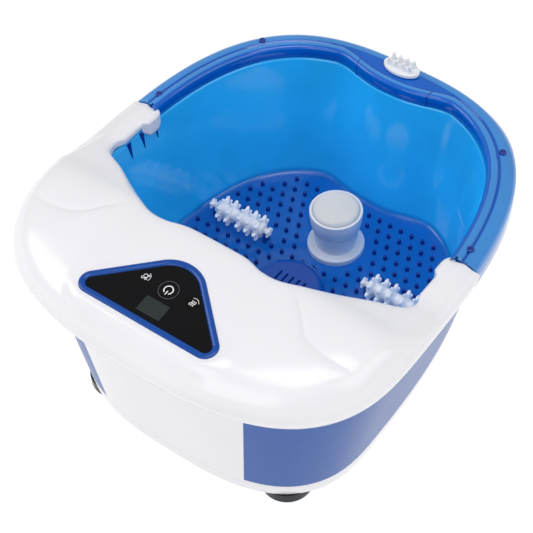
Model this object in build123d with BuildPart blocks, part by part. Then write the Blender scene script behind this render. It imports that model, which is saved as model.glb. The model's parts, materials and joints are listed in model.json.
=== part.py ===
from build123d import *
import os
from math import cos, copysign, pi, radians, sin

# Foot spa basin with a front control cover, massage rollers, a pumice post and a bubble outlet.
# The origin is on the ground under the middle of the basin, +Z up, the control panel at -Y.
os.makedirs("parts", exist_ok=True)

# ---- driving sizes, in millimetres -------------------------------------------------
# plan outlines are measured from the line where the basin is widest
widest_y = -64.0
side_power = 2.8
front_power = 2.8
back_power = 3.2
outline_steps = 8

cover_half_width = 192.0
cover_front_reach = 152.0
cover_back_reach = 275.0

cover_overhang = 3.5
rim_half_width = cover_half_width - cover_overhang
rim_back_reach = 280.0
rim_width = 25.0
rim_top_z = 199.0
rim_skirt_z = 172.0
flange_z = 178.0
rim_wall = 3.0
rim_start_y = 30.0

floor_z = 48.0
floor_half_width = 147.5
floor_front_reach = 68.0
floor_back_reach = 236.0
lip_z = 185.0
lip_front_reach = 76.0
lip_back_reach = 256.0
waist_depth = 16.0
waist_half_width = 68.0
tub_wall = 2.5
tub_front_z = 188.0
flange_thickness = 3.0

base_z = 12.0
base_half_width = 148.5
base_front_reach = 113.0
base_back_reach = 238.0
shell_wall = 2.4
parting_z = 25.0
pan_floor = 2.5

cover_bottom_z = 150.0
cover_wall = 2.5
gasket_thickness = 1.0
tray_thickness = 2.0

clearance = 0.3
panel_gap = 0.2
# cutting blocks reach past the basin on every side
cutter_reach = 600.0


# ---- outlines shared by the mouldings ----------------------------------------------
def half_outline(half_width, front, back, waist=0.0):
    """Points of the right half of a squarish oval, from its front middle to its back middle."""
    points = []
    for step in range(outline_steps + 1):
        turn = pi * step / outline_steps
        behind = turn > pi / 2
        reach = back if behind else front
        power = back_power if behind else front_power
        x = half_width * abs(sin(turn)) ** (2 / side_power)
        y = widest_y - reach * copysign(abs(cos(turn)) ** (2 / power), cos(turn))
        if behind and x < waist_half_width:
            y -= waist * (1 - (x / waist_half_width) ** 2.5) ** 2
        points.append((x, y))
    return points


def outline_face(z, half_width, front, back, waist=0.0):
    """Face of a whole outline at one height."""
    with BuildSketch(Plane.XY.offset(z), mode=Mode.PRIVATE) as face:
        with BuildLine():
            Spline(*half_outline(half_width, front, back, waist), tangents=[(1, 0), (-1, 0)])
            mirror(about=Plane.YZ)
        make_face()
    return face.sketch


# ---- the tub -----------------------------------------------------------------------
lip_half_width = rim_half_width - rim_width
dome_y = 8.0
boss_places = [(rim_half_width - 20.0, 44.0), (rim_half_width - 57.5, 157.0)]
boss_radius = 4.0
pilot_radius = 1.5
screw_hole_radius = 1.9
spigot_radius = 4.0
spigot_bore = 2.5
spigot_length = 6.0
pin_seat_y = 201.0
pin_stem_radius = 6.0
flange_inset = 9.0
flange_front_reach = base_front_reach + 9.0
end_wall_margin = 1.5


def ring(z, outer, inner, start_y=None):
    """Face between two outlines, kept only behind start_y where one is given."""
    with BuildSketch(Plane.XY.offset(z), mode=Mode.PRIVATE) as face:
        add(outer)
        add(inner, mode=Mode.SUBTRACT)
        if start_y is not None:
            with Locations((0, start_y)):
                Rectangle(cutter_reach, cutter_reach, align=(Align.CENTER, Align.MAX), mode=Mode.SUBTRACT)
    return face.sketch


def lip_face(grow):
    return outline_face(0, lip_half_width + grow, lip_front_reach + grow, lip_back_reach + grow, waist_depth)


def rim_face(grow):
    return outline_face(0, rim_half_width + grow, cover_front_reach, rim_back_reach + grow)


tub_bottom_z = floor_z - tub_wall
rim_roof_z = rim_top_z - rim_wall

with BuildPart() as tub:
    # the well
    loft(sections=[
        outline_face(tub_bottom_z, floor_half_width + tub_wall, floor_front_reach + tub_wall,
                     floor_back_reach + tub_wall, waist_depth),
        outline_face(lip_z, lip_half_width + tub_wall, lip_front_reach + tub_wall,
                     lip_back_reach + tub_wall, waist_depth),
    ])
    loft(sections=[
        outline_face(floor_z, floor_half_width, floor_front_reach, floor_back_reach, waist_depth),
        outline_face(lip_z, lip_half_width, lip_front_reach, lip_back_reach, waist_depth),
    ], mode=Mode.SUBTRACT)
    # upright lip all round, then the exposed rim: a hollow channel behind the cover's arms
    extrude(ring(lip_z, lip_face(tub_wall), lip_face(0)), amount=tub_front_z - lip_z)
    extrude(ring(tub_front_z, lip_face(tub_wall), lip_face(0), rim_start_y), amount=rim_roof_z - tub_front_z)
    extrude(ring(rim_roof_z, rim_face(0), lip_face(0), rim_start_y), amount=rim_wall)
    extrude(ring(rim_skirt_z, rim_face(0), rim_face(-rim_wall), rim_start_y), amount=rim_roof_z - rim_skirt_z)
    # flange below the cover, and the wall that closes the channel at each arm
    flange_face = outline_face(0, rim_half_width - flange_inset, flange_front_reach, rim_back_reach)
    with BuildSketch(Plane.XY.offset(flange_z)):
        add(flange_face)
        add(lip_face(tub_wall / 2), mode=Mode.SUBTRACT)
        with Locations((0, rim_start_y + rim_wall)):
            Rectangle(cutter_reach, cutter_reach, align=(Align.CENTER, Align.MIN), mode=Mode.SUBTRACT)
    extrude(amount=flange_thickness)
    with BuildSketch(Plane.XY.offset(flange_z + flange_thickness)):
        for side in (-1, 1):
            with Locations((side * (lip_half_width + rim_width / 2 - end_wall_margin / 2),
                            rim_start_y + rim_wall / 2)):
                Rectangle(rim_width - 2 * end_wall_margin, rim_wall)
    extrude(amount=rim_roof_z - flange_z - flange_thickness)
    # screw bosses inside the channel, with pilot holes from below
    with BuildSketch(Plane.XY.offset(flange_z)):
        for x, y in boss_places:
            with Locations((x, y), (-x, y)):
                Circle(boss_radius)
                Circle(pilot_radius, mode=Mode.SUBTRACT)
    extrude(amount=rim_roof_z - flange_z)
    # seat hole for the stored massage head
    with Locations((0, pin_seat_y, rim_top_z)):
        Hole(pin_stem_radius + clearance, depth=rim_wall)
    # air spigot below the floor, under the bubble cover
    with BuildSketch(Plane.XY.offset(tub_bottom_z - spigot_length)):
        with Locations((0, dome_y)):
            Circle(spigot_radius)
    extrude(amount=spigot_length)
    with Locations((0, dome_y, floor_z)):
        Hole(spigot_bore, depth=spigot_length + tub_wall)
tub.part.label = "tub"
export_step(tub.part, "parts/tub.step")


# ---- front cover -------------------------------------------------------------------
# height, side inset and front inset of the cover's bulging skin
cover_levels = [
    (cover_bottom_z, 15, 24),
    (170, 4, 7),
    (190, 0, 0),
    (210, 7, 9),
    (240, 40, 44),
]
# the roof line from the nose back to the arms, as distance along Y and height
roof_line = [(-235, 216), (-194, 219), (-154, 223.5), (-120, 226), (-92, 224), (-69, 213), (-48, 204.5),
             (-30, 198.5), (0, 197), (40, 196)]
roof_cut_z = 260.0
# the right half of the opening over the well, from the tongue to the arm
well_edge = [(0, -86), (30, -87), (50, -93), (69, -92.5), (89, -83), (112, -69), (136, -54), (157, -44)]
arm_corner = (lip_half_width - 0.5, -37.0)
arm_inner_x = lip_half_width - 3.0
arm_turn_length = 14.0


def cover_skin(inset):
    return [
        outline_face(z, cover_half_width - side - inset, cover_front_reach - front - inset,
                     cover_back_reach - inset)
        for z, side, front in cover_levels
    ]


def above_roof(drop):
    """Side view of everything above the roof line lowered by drop."""
    with BuildSketch(Plane.YZ, mode=Mode.PRIVATE) as face:
        with BuildLine():
            line = Spline(*[(y, z - drop) for y, z in roof_line])
            Polyline(line @ 1, ((line @ 1).X, roof_cut_z), ((line @ 0).X, roof_cut_z), line @ 0)
        make_face()
    return face.sketch


def over_well(z, grow):
    """Plan of the cover's opening over the well, grown outwards."""
    with BuildSketch(Plane.XY.offset(z), mode=Mode.PRIVATE) as face:
        with BuildLine():
            edge = Spline(*[(x, y - grow) for x, y in well_edge], (arm_corner[0] + grow, arm_corner[1] - grow),
                          tangents=[(1, 0), (1, 1.6)])
            Polyline(edge @ 1, (arm_inner_x + grow, arm_corner[1] + arm_turn_length),
                     (arm_inner_x + grow, rim_start_y + 50), (0, rim_start_y + 50))
            mirror(about=Plane.YZ)
        make_face()
    return face.sketch


def behind(z, y):
    """Plan of everything behind a line across the basin."""
    with BuildSketch(Plane.XY.offset(z), mode=Mode.PRIVATE) as face:
        with Locations((0, y)):
            Rectangle(cutter_reach, cutter_reach, align=(Align.CENTER, Align.MIN))
    return face.sketch


# ---- control panel plane -----------------------------------------------------------
panel_y = -158.0
panel_z = 223.2
panel_tilt = 5.0
panel_plane = Plane(origin=(0, panel_y, panel_z), x_dir=(1, 0, 0),
                    z_dir=(0, -sin(radians(panel_tilt)), cos(radians(panel_tilt))))
panel_apex = 47.5
panel_front = -35.0
panel_half_width = 88.7
apex_radius = 34.0
corner_radius = 11.5
bezel_width = 6.0
bezel_depth = 8.0
bezel_rise = 0.9
fascia_thickness = 2.6
fascia_recess = 0.6
ledge_width = 1.0
panel_cut = 30.0


def panel_shape(height, inset):
    """Rounded triangle of the control panel, at a height over the panel plane."""
    with BuildSketch(panel_plane.offset(height), mode=Mode.PRIVATE) as face:
        Polygon((0, panel_apex), (panel_half_width, panel_front), (-panel_half_width, panel_front), align=None)
        fillet(face.vertices().sort_by(Axis.Y)[-1:], apex_radius)
        fillet(face.vertices().group_by(Axis.Y)[0], corner_radius)
        if inset:
            offset(amount=-inset)
    return face.sketch


cover_cut = cutter_reach / 4
cover_skirt_z = tub_front_z + gasket_thickness + tray_thickness + clearance

# the hollow stops short of the well's edge and of the arm ends, which leaves a skirt there
with BuildPart() as cover_hollow:
    loft(sections=cover_skin(cover_wall))
    extrude(above_roof(cover_wall), amount=cutter_reach / 2, both=True, mode=Mode.SUBTRACT)
    extrude(over_well(cover_skirt_z, cover_wall), amount=cover_cut, mode=Mode.SUBTRACT)

with BuildPart() as front_cover:
    loft(sections=cover_skin(0))
    extrude(above_roof(0), amount=cutter_reach / 2, both=True, mode=Mode.SUBTRACT)
    extrude(behind(cover_bottom_z - 1, rim_start_y - clearance), amount=cover_cut, mode=Mode.SUBTRACT)
    extrude(over_well(cover_bottom_z - 1, 0), amount=cover_cut, mode=Mode.SUBTRACT)
    add(cover_hollow.part, mode=Mode.SUBTRACT)
    extrude(panel_shape(-panel_cut / 2, -panel_gap), amount=panel_cut, mode=Mode.SUBTRACT)
front_cover.part.label = "front_cover"
export_step(front_cover.part, "parts/front_cover.step")

# ---- tray and gasket that close the cover's underside over the well ----------------
tray_gap = 1.0
gasket_end = 20.0
with BuildPart() as control_tray:
    with BuildSketch(Plane.XY.offset(tub_front_z + gasket_thickness)):
        add(outline_face(0, cover_half_width - cover_wall - tray_gap, cover_front_reach - cover_wall - tray_gap,
                         cover_back_reach))
        add(over_well(0, cover_wall / 2), mode=Mode.SUBTRACT)
        with Locations((0, arm_corner[1])):
            Rectangle(cutter_reach, cutter_reach, align=(Align.CENTER, Align.MIN), mode=Mode.SUBTRACT)
    extrude(amount=tray_thickness)
control_tray.part.label = "control_tray"
export_step(control_tray.part, "parts/control_tray.step")

with BuildPart() as tray_gasket:
    with BuildSketch(Plane.XY.offset(tub_front_z)):
        add(lip_face(tub_wall))
        add(lip_face(0), mode=Mode.SUBTRACT)
        with Locations((0, arm_corner[1] - gasket_end)):
            Rectangle(cutter_reach, cutter_reach, align=(Align.CENTER, Align.MIN), mode=Mode.SUBTRACT)
    extrude(amount=gasket_thickness)
tray_gasket.part.label = "tray_gasket"
export_step(tray_gasket.part, "parts/tray_gasket.step")


# ---- outer shell with its two side panels ------------------------------------------
shell_bottom_z = parting_z + clearance
shell_top_z = flange_z - clearance
window_depth = 1.2
window_front_x = 80.0
window_lean = 0.09
window_bottom_z = 28.0
window_rear_y = 105.0
cut_margin = 5.0
panel_back_gap = 0.1
lug_radius = 5.4
lug_height = 6.0
gland_z = 35.0
gland_cut = 20.0
gland_radius = 6.0
shell_back_lean = (rim_back_reach - rim_wall - clearance - base_back_reach) / (flange_z - base_z)


def shell_face(z, inset):
    """Outline of the shell at a height: it leans out to fit inside the cover and the rim."""
    to_cover = (z - base_z) / (cover_bottom_z - base_z)
    to_rim = (z - base_z) / (flange_z - base_z)
    skirt_side, skirt_front = cover_levels[0][1:]
    side = cover_half_width - skirt_side - cover_wall - clearance
    front = cover_front_reach - skirt_front - cover_wall - clearance
    back = rim_back_reach - rim_wall - clearance
    return outline_face(z, base_half_width + (side - base_half_width) * to_cover - inset,
                        base_front_reach + (front - base_front_reach) * to_cover - inset,
                        base_back_reach + (back - base_back_reach) * to_rim - inset)


def shell_block(low, high, inset):
    """Solid block with the shell's sides, moved inwards by inset."""
    with BuildPart(mode=Mode.PRIVATE) as block:
        loft(sections=[shell_face(low, inset), shell_face(high, inset)])
    return block.part


def window_block(side, grow):
    """Straight block through one side of the shell, where a side panel lies."""
    low = window_bottom_z - grow
    top = shell_top_z + cut_margin
    near = window_front_x - grow
    with BuildPart(mode=Mode.PRIVATE) as block:
        with BuildSketch(Plane.XZ.offset(-window_rear_y - grow)):
            Polygon((side * near, low), (side * cutter_reach / 2, low), (side * cutter_reach / 2, top),
                    (side * (near + window_lean * top), top), align=None)
        extrude(amount=cutter_reach)
    return block.part


with BuildPart() as window_recess:
    for side in (-1, 1):
        add(window_block(side, panel_gap))
    add(shell_block(shell_bottom_z - cut_margin, shell_top_z + cut_margin, window_depth + panel_back_gap),
        mode=Mode.SUBTRACT)

with BuildPart() as outer_shell:
    add(shell_block(shell_bottom_z, shell_top_z, 0))
    add(shell_block(shell_bottom_z - cut_margin, shell_top_z + cut_margin, shell_wall), mode=Mode.SUBTRACT)
    with BuildSketch(Plane.XY.offset(shell_top_z - lug_height)):
        for x, y in boss_places:
            with Locations((x, y), (-x, y)):
                Circle(lug_radius)
    extrude(amount=lug_height)
    add(window_recess.part, mode=Mode.SUBTRACT)
    with BuildSketch(Plane.XY.offset(shell_top_z - lug_height)):
        for x, y in boss_places:
            with Locations((x, y), (-x, y)):
                Circle(screw_hole_radius)
    extrude(amount=lug_height, mode=Mode.SUBTRACT)
    with BuildSketch(Plane.XZ.offset(-widest_y - base_back_reach)):
        with Locations((0, gland_z)):
            Circle(gland_radius)
    extrude(amount=gland_cut, both=True, mode=Mode.SUBTRACT)
outer_shell.part.label = "outer_shell"
export_step(outer_shell.part, "parts/outer_shell.step")

for side, word in ((-1, "left"), (1, "right")):
    with BuildPart() as side_panel:
        add(shell_block(window_bottom_z - cut_margin, shell_top_z, 0))
        add(window_block(side, 0), mode=Mode.INTERSECT)
        add(shell_block(window_bottom_z - 2 * cut_margin, shell_top_z + cut_margin, window_depth), mode=Mode.SUBTRACT)
    side_panel.part.label = "side_panel_" + word
    export_step(side_panel.part, "parts/side_panel_" + word + ".step")

# ---- bottom pan, feet and their screws ---------------------------------------------
foot_radius = 25.0
foot_edge = 2.0
foot_places = [(-101, -135, "front_left"), (101, -135, "front_right"),
               (-85, 118, "rear_left"), (85, 118, "rear_right")]
foot_recess_radius = 4.5
foot_recess_depth = 5.0
post_radius = 4.5
pan_post_height = 6.0
vent_place = (40.0, -60.0)
vent_pitch, vent_count = 9.0, 7
vent_length, vent_width = 36.0, 3.0
board_x, board_y = -70.0, -40.0
board_length, board_width = 84.0, 60.0
board_inset = 5.0
pcb_thickness = 1.6
pilot_slack = 0.1
shaft_radius = pilot_radius - pilot_slack
board_corners = [(board_x + i * (board_length / 2 - board_inset), board_y + j * (board_width / 2 - board_inset))
                 for i in (-1, 1) for j in (-1, 1)]

with BuildPart() as bottom_pan:
    loft(sections=[shell_face(base_z, 0), shell_face(parting_z, 0)])
    loft(sections=[shell_face(base_z + pan_floor, shell_wall), shell_face(parting_z, shell_wall)],
         mode=Mode.SUBTRACT)
    with BuildSketch(Plane.XY.offset(base_z + pan_floor)):
        with Locations(*[(x, y) for x, y, word in foot_places], *board_corners):
            Circle(post_radius)
    extrude(amount=pan_post_height)
    with BuildSketch(Plane.XY.offset(base_z)):
        with Locations(*[(x, y) for x, y, word in foot_places]):
            Circle(pilot_radius)
        with Locations(vent_place):
            with GridLocations(vent_pitch, 0, vent_count, 1):
                SlotOverall(vent_length, vent_width, rotation=90)
    extrude(amount=pan_floor + pan_post_height - 1, mode=Mode.SUBTRACT)
    with BuildSketch(Plane.XY.offset(base_z + pan_floor + 1)):
        with Locations(*board_corners):
            Circle(pilot_radius)
    extrude(amount=pan_post_height, mode=Mode.SUBTRACT)
bottom_pan.part.label = "bottom_pan"
export_step(bottom_pan.part, "parts/bottom_pan.step")

for x, y, word in foot_places:
    with BuildPart() as foot:
        with BuildSketch(Plane.XY):
            with Locations((x, y)):
                Circle(foot_radius)
        extrude(amount=base_z)
        fillet(foot.faces().sort_by(Axis.Z)[0].edges(), foot_edge)
        with Locations(Location((x, y, 0), (180, 0, 0))):
            CounterBoreHole(screw_hole_radius, foot_recess_radius, foot_recess_depth, depth=base_z)
    foot.part.label = "foot_" + word
    export_step(foot.part, "parts/foot_" + word + ".step")


def screws(places, seat, head_radius, head_height, length, plane=Plane.XY):
    """Pan-head screws along the plane's normal, with their heads seated at a height over it."""
    with BuildPart(mode=Mode.PRIVATE) as group:
        with BuildSketch(plane.offset(seat - head_height)):
            with Locations(*places):
                Circle(head_radius)
        extrude(amount=head_height)
        with BuildSketch(plane.offset(seat)):
            with Locations(*places):
                Circle(shaft_radius)
        extrude(amount=length)
    return group.part


foot_head_radius, foot_head_height, foot_screw_length = 4.0, 2.4, 12.0
foot_screws = screws([(x, y) for x, y, word in foot_places], foot_recess_depth, foot_head_radius, foot_head_height,
                     foot_screw_length)
foot_screws.label = "foot_screws"
export_step(foot_screws, "parts/foot_screws.step")

rim_head_radius, head_height, rim_thread_length = 2.6, 2.0, 12.0
rim_screws = screws([(side * x, y) for x, y in boss_places for side in (-1, 1)], shell_top_z - lug_height,
                    rim_head_radius, head_height, lug_height + rim_thread_length)
rim_screws.label = "rim_screws"
export_step(rim_screws, "parts/rim_screws.step")

# ---- mains board on the pan --------------------------------------------------------
board_z = base_z + pan_floor + pan_post_height
board_top_z = board_z + pcb_thickness
with BuildPart() as power_board:
    with BuildSketch(Plane.XY.offset(board_z)):
        with Locations((board_x, board_y)):
            Rectangle(board_length, board_width)
        with Locations(*board_corners):
            Circle(screw_hole_radius, mode=Mode.SUBTRACT)
    extrude(amount=pcb_thickness)
power_board.part.label = "power_board"
export_step(power_board.part, "parts/power_board.step")

# name, place on the board, then length, width and height
for name, dx, dy, length, width, height in [("transformer", -14, 6, 32, 28, 18), ("relay", 20, 12, 18, 12, 14),
                                            ("terminal_block", 18, -14, 26, 10, 12)]:
    with BuildPart() as piece:
        with BuildSketch(Plane.XY.offset(board_top_z)):
            with Locations((board_x + dx, board_y + dy)):
                Rectangle(length, width)
        extrude(amount=height)
        chamfer(piece.faces().sort_by(Axis.Z)[-1].edges(), 1)
    piece.part.label = name
    export_step(piece.part, "parts/" + name + ".step")

down_plane = Plane(origin=(0, 0, board_top_z), x_dir=(1, 0, 0), z_dir=(0, 0, -1))
board_head_radius, board_screw_length = 3.0, 6.0
board_screws = screws([(x, -y) for x, y in board_corners], 0, board_head_radius, head_height, board_screw_length,
                      down_plane)
board_screws.label = "board_screws"
export_step(board_screws, "parts/board_screws.step")

# ---- heater below the tub's floor --------------------------------------------------
heater_y = 75.0
heater_length = 180.0
heater_width = 60.0
heater_plate_thickness = 1.5
element_radius = 3.0
element_spacing = 30.0
thermostat_radius = 9.0
heater_bottom_z = tub_bottom_z - heater_plate_thickness
heater_corner = 8.0
element_margin = 20.0
thermostat_height = 7.0
blade_width, blade_thickness, blade_length, blade_pitch = 4.0, 0.8, 5.0, 10.0

with BuildPart() as heater_plate:
    with BuildSketch(Plane.XY.offset(heater_bottom_z)):
        with Locations((0, heater_y)):
            RectangleRounded(heater_length, heater_width, heater_corner)
    extrude(amount=heater_plate_thickness)
heater_plate.part.label = "heater_plate"
export_step(heater_plate.part, "parts/heater_plate.step")

with BuildPart() as heater_element:
    element_z = heater_bottom_z - element_radius
    near_y = heater_y - element_spacing / 2
    far_y = heater_y + element_spacing / 2
    end_x = heater_length / 2 - element_margin
    with BuildLine() as element_path:
        top = Line((-end_x, near_y, element_z), (end_x - element_spacing / 2, near_y, element_z))
        bend = ThreePointArc(top @ 1, (end_x, heater_y, element_z), (end_x - element_spacing / 2, far_y, element_z))
        Line(bend @ 1, (-end_x, far_y, element_z))
    with BuildSketch(Plane(origin=(-end_x, near_y, element_z), z_dir=(1, 0, 0))):
        Circle(element_radius)
    sweep(path=element_path.wires()[0])
heater_element.part.label = "heater_element"
export_step(heater_element.part, "parts/heater_element.step")

with BuildPart() as thermostat:
    with BuildSketch(Plane.XY.offset(heater_bottom_z - thermostat_height)):
        with Locations((0, heater_y)):
            Circle(thermostat_radius)
    extrude(amount=thermostat_height)
    with BuildSketch(Plane.XY.offset(heater_bottom_z - thermostat_height)):
        with Locations((0, heater_y)):
            with GridLocations(blade_pitch, 0, 2, 1):
                Rectangle(blade_width, blade_thickness)
    extrude(amount=-blade_length)
thermostat.part.label = "thermostat"
export_step(thermostat.part, "parts/thermostat.step")

# ---- air pump, hose and the bubble cover it feeds ----------------------------------
pump_y = -156.0
pump_length, pump_width, pump_height = 70.0, 30.0, 56.0
pump_mount_height = 4.0
barb_z = 24.0
barb_radius = 2.6
hose_radius = 4.0
hose_bore = 2.7
pump_back_y = pump_y + pump_width / 2
pump_corner, pump_edge = 6.0, 4.0
barb_length, barb_root = 8.0, 2.0
mount_radius, mount_inset = 5.0, 8.0
hose_gap = 0.5

with BuildPart() as air_pump:
    with BuildSketch(Plane.XY.offset(base_z + pan_floor + pump_mount_height)):
        with Locations((0, pump_y)):
            RectangleRounded(pump_length, pump_width, pump_corner)
    extrude(amount=pump_height)
    fillet(air_pump.faces().sort_by(Axis.Z)[-1].edges(), pump_edge)
    with BuildSketch(Plane.XZ.offset(-pump_back_y + barb_root)):
        with Locations((0, barb_z)):
            Circle(barb_radius)
    extrude(amount=-barb_root - barb_length)
air_pump.part.label = "air_pump"
export_step(air_pump.part, "parts/air_pump.step")

with BuildPart() as pump_mounts:
    with BuildSketch(Plane.XY.offset(base_z + pan_floor)):
        with Locations((0, pump_y)):
            with GridLocations(pump_length - 2 * mount_inset, pump_width - 2 * mount_inset, 2, 2):
                Circle(mount_radius)
    extrude(amount=pump_mount_height)
pump_mounts.part.label = "pump_mounts"
export_step(pump_mounts.part, "parts/pump_mounts.step")

spigot_end_z = tub_bottom_z - spigot_length
with BuildPart() as air_hose:
    rise = spigot_end_z - barb_z
    hose_start_y = pump_back_y + hose_gap
    across_hose = Plane(origin=(0, hose_start_y, barb_z), z_dir=(0, 1, 0))
    with BuildSketch(across_hose):
        Circle(hose_radius)
        Circle(hose_bore, mode=Mode.SUBTRACT)
    extrude(amount=dome_y - rise - hose_start_y)
    with BuildSketch(across_hose.offset(dome_y - rise - hose_start_y)):
        Circle(hose_radius)
        Circle(hose_bore, mode=Mode.SUBTRACT)
    revolve(axis=Axis((0, dome_y - rise, spigot_end_z), (1, 0, 0)), revolution_arc=90)
air_hose.part.label = "air_hose"
export_step(air_hose.part, "parts/air_hose.step")

dome_radius = 36.0
dome_height = 20.0
dome_wall = 2.5
dome_edge = 8.0
dome_top_wall = 6.5
slot_length, slot_width, slot_pitch, slot_count = 24.0, 2.5, 7.0, 5
with BuildPart() as bubble_cover:
    with BuildSketch(Plane.XY.offset(floor_z)):
        with Locations((0, dome_y)):
            Circle(dome_radius)
    extrude(amount=dome_height)
    fillet(bubble_cover.faces().sort_by(Axis.Z)[-1].edges(), dome_edge)
    with BuildSketch(Plane.XY.offset(floor_z)):
        with Locations((0, dome_y)):
            Circle(dome_radius - dome_wall)
    extrude(amount=dome_height - dome_top_wall, mode=Mode.SUBTRACT)
    with BuildSketch(Plane.XY.offset(floor_z + dome_height)):
        with Locations((0, dome_y)):
            with GridLocations(slot_pitch, 0, slot_count, 1):
                SlotOverall(slot_length, slot_width, rotation=90)
    extrude(amount=-dome_top_wall - 1, mode=Mode.SUBTRACT)
bubble_cover.part.label = "bubble_cover"
export_step(bubble_cover.part, "parts/bubble_cover.step")

# ---- centre post with its lift-off pumice head -------------------------------------
post_y = 91.0
post_base_radius = 28.5
post_base_height = 6.0
post_neck_radius = 20.0
post_top_z = floor_z + 12.0
stem_radius = 12.0
cup_radius = 26.0
cup_foot_radius = 21.0
cup_wall = 2.5
cup_top_z = 99.0
stone_seat_z = 80.0
stone_rise = 6.0
post_edge = 2.0
stem_floor = 3.0
stem_gap = 1.0

with BuildPart() as centre_post:
    with Locations((0, post_y, floor_z)):
        Cylinder(post_base_radius, post_base_height, align=(Align.CENTER, Align.CENTER, Align.MIN))
        Cylinder(post_neck_radius, post_top_z - floor_z, align=(Align.CENTER, Align.CENTER, Align.MIN))
    fillet(centre_post.edges().filter_by(GeomType.CIRCLE).filter_by(lambda e: e.radius > post_neck_radius)
           .sort_by(Axis.Z)[-1], post_edge)
    with Locations((0, post_y, post_top_z)):
        Hole(stem_radius + clearance, depth=post_top_z - floor_z - stem_floor)
centre_post.part.label = "centre_post"
export_step(centre_post.part, "parts/centre_post.step")

with BuildPart() as pumice_holder:
    with BuildSketch(Plane(origin=(0, post_y, 0), x_dir=(1, 0, 0), z_dir=(0, -1, 0))):
        with BuildLine():
            foot_z = post_top_z + clearance
            stem_end_z = floor_z + stem_floor + stem_gap
            Polyline((0, stem_end_z), (stem_radius, stem_end_z), (stem_radius, foot_z), (cup_foot_radius, foot_z),
                     (cup_foot_radius + 1, foot_z + 12))
            Spline((cup_foot_radius + 1, foot_z + 12), (cup_radius - 0.6, foot_z + 26), (cup_radius, cup_top_z - 6),
                   tangents=[(0.3, 1), (0, 1)])
            Polyline((cup_radius, cup_top_z - 6), (cup_radius, cup_top_z), (cup_radius - cup_wall, cup_top_z),
                     (cup_radius - cup_wall, stone_seat_z), (0, stone_seat_z), (0, stem_end_z))
        make_face()
    revolve(axis=Axis((0, post_y, 0), (0, 0, 1)))
pumice_holder.part.label = "pumice_holder"
export_step(pumice_holder.part, "parts/pumice_holder.step")

with BuildPart() as pumice_stone:
    stone_radius = cup_radius - cup_wall - panel_gap
    with BuildSketch(Plane(origin=(0, post_y, 0), x_dir=(1, 0, 0), z_dir=(0, -1, 0))):
        with BuildLine():
            Polyline((0, cup_top_z + stone_rise), (0, stone_seat_z), (stone_radius, stone_seat_z),
                     (stone_radius, cup_top_z - 1))
            Spline((stone_radius, cup_top_z - 1), (stone_radius * 0.72, cup_top_z + stone_rise * 0.72),
                   (0, cup_top_z + stone_rise), tangents=[(0, 1), (-1, 0)])
        make_face()
    revolve(axis=Axis((0, post_y, 0), (0, 0, 1)))
pumice_stone.part.label = "pumice_stone"
export_step(pumice_stone.part, "parts/pumice_stone.step")

# ---- spare massage head stored on the rear rim -------------------------------------
head_half_length, head_half_width, head_thickness, head_edge = 19.0, 11.0, 3.4, 1.2
head_stem_length = 9.0
pin_radius, pin_length, pin_taper, pin_root = 2.0, 8.5, 3.0, 3.0
pin_pitch_x, pin_pitch_y = 7.6, 8.0
with BuildPart() as massage_head:
    with BuildSketch(Plane.XY.offset(rim_top_z + clearance)):
        with Locations((0, pin_seat_y)):
            Ellipse(head_half_length, head_half_width)
    extrude(amount=head_thickness)
    fillet(massage_head.faces().sort_by(Axis.Z)[-1].edges(), head_edge)
    with BuildSketch(Plane.XY.offset(rim_top_z - head_stem_length)):
        with Locations((0, pin_seat_y)):
            Circle(pin_stem_radius)
    extrude(amount=head_stem_length + clearance)
    with BuildSketch(Plane.XY.offset(rim_top_z + pin_root)):
        with Locations((0, pin_seat_y)):
            with GridLocations(pin_pitch_x, pin_pitch_y, 4, 2):
                Circle(pin_radius)
    extrude(amount=pin_length, taper=pin_taper)
massage_head.part.label = "massage_head"
export_step(massage_head.part, "parts/massage_head.step")

# ---- massage rollers ---------------------------------------------------------------
roller_y = 56.0
roller_x = 91.0
roller_axis_z = 62.3
roller_length = 57.0
roller_radius = 13.0
roller_hub_radius = 6.0
disc_thickness = 5.5
disc_offsets = [-24.0, -13.5, -3.0, 11.0, 21.5]
disc_points = 8
disc_core_radius = 9.0
tooth_width = 4.4
axle_radius = 2.0
axle_running_clearance = 0.06
cap_length = 8.0
cap_radius = 6.5
cap_wall = 1.5
cap_leg_width = 11.0
cap_grip = 0.02

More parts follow.
